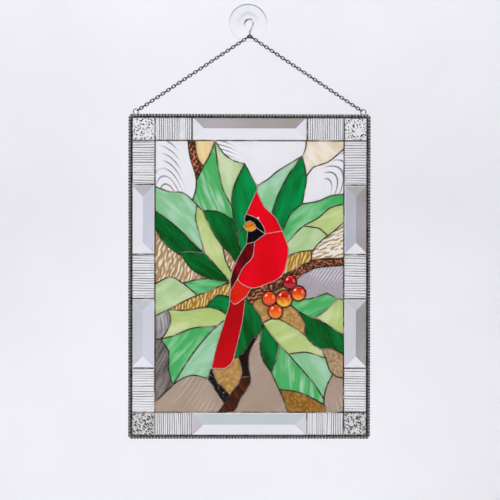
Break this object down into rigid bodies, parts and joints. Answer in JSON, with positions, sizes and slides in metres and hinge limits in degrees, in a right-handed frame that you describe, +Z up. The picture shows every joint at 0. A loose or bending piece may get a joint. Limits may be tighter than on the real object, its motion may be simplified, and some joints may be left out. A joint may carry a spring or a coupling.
{
  "type": "stained glass panel",
  "caption": "Rectangular stained glass window hanging: a red bird on a holly branch in copper foil and solder, bevelled clear border, hung by chain from a suction cup hook.",
  "frame": {"origin": "middle of the suction cup's flat face, which is pressed on a window pane", "axes": "+Z up, -Y towards the viewer (the panel's decorated front), +X to the viewer's right"},
  "size_m": [0.27, 0.0142, 0.4862],
  "materials": {
    "clear_glass": "clear textured, rippled or wispy glass",
    "reeded_glass": "clear reeded glass",
    "bevelled_glass": "clear polished bevelled plate",
    "cream_glass": "opalescent cream, hammered",
    "amber_glass": "amber, water textured",
    "brown_glass": "dark brown, rippled",
    "dark_green_glass": "dark streaky green",
    "pale_green_glass": "pale streaky green and lime",
    "red_glass": "deep red",
    "orange_red_glass": "orange red, domed",
    "solder": "dark patina on solder",
    "dark_wire": "darkened wire",
    "steel_wire": "bright wire",
    "clear_plastic": "clear soft vinyl"
  },
  "bodies": {
    "root": {"clear_top_left": "clear_glass", "clear_top": "clear_glass", "clear_right_upper": "clear_glass", "clear_right": "clear_glass", "clear_left": "clear_glass", "clear_bottom_left": "clear_glass", "clear_bottom": "clear_glass", "clear_bottom_right": "clear_glass", "corner_bottom_left": "clear_glass", "corner_top_left": "clear_glass", "corner_bottom_right": "clear_glass", "corner_top_right": "clear_glass", "reeded_bottom_left": "reeded_glass", "reeded_bottom_right": "reeded_glass", "reeded_top_left": "reeded_glass", "reeded_top_right": "reeded_glass", "reeded_left_lower": "reeded_glass", "reeded_left_middle": "reeded_glass", "reeded_left_upper": "reeded_glass", "reeded_right_lower": "reeded_glass", "reeded_right_middle": "reeded_glass", "reeded_right_upper": "reeded_glass", "bevel_bottom": "bevelled_glass", "bevel_top": "bevelled_glass", "bevel_left_lower": "bevelled_glass", "bevel_left_upper": "bevelled_glass", "bevel_right_lower": "bevelled_glass", "bevel_right_upper": "bevelled_glass", "cream_top_right": "cream_glass", "cream_rippled": "cream_glass", "amber_left": "amber_glass", "amber_low_left": "amber_glass", "branch_top": "brown_glass", "branch_across": "brown_glass", "branch_low": "brown_glass", "leaves_behind_crest": "dark_green_glass", "leaf_left": "dark_green_glass", "leaf_middle": "dark_green_glass", "leaf_under_tail": "dark_green_glass", "leaf_top_left": "pale_green_glass", "leaf_right": "pale_green_glass", "leaf_pale_left": "pale_green_glass", "leaf_low_left": "pale_green_glass", "leaf_low_right": "pale_green_glass", "leaf_big": "pale_green_glass", "bird_head": "red_glass", "bird_body": "red_glass", "bird_wing": "red_glass", "berry_top": "red_glass", "bird_tail": "orange_red_glass", "berry_right": "orange_red_glass", "berry_middle": "orange_red_glass", "berry_left": "orange_red_glass", "berry_bottom": "orange_red_glass", "solder_lattice": "solder", "rim_wire": "dark_wire", "chain_left": "dark_wire", "chain_right": "dark_wire", "wire_hook": "steel_wire", "suction_cup": "clear_plastic"}
  },
  "joints": []
}
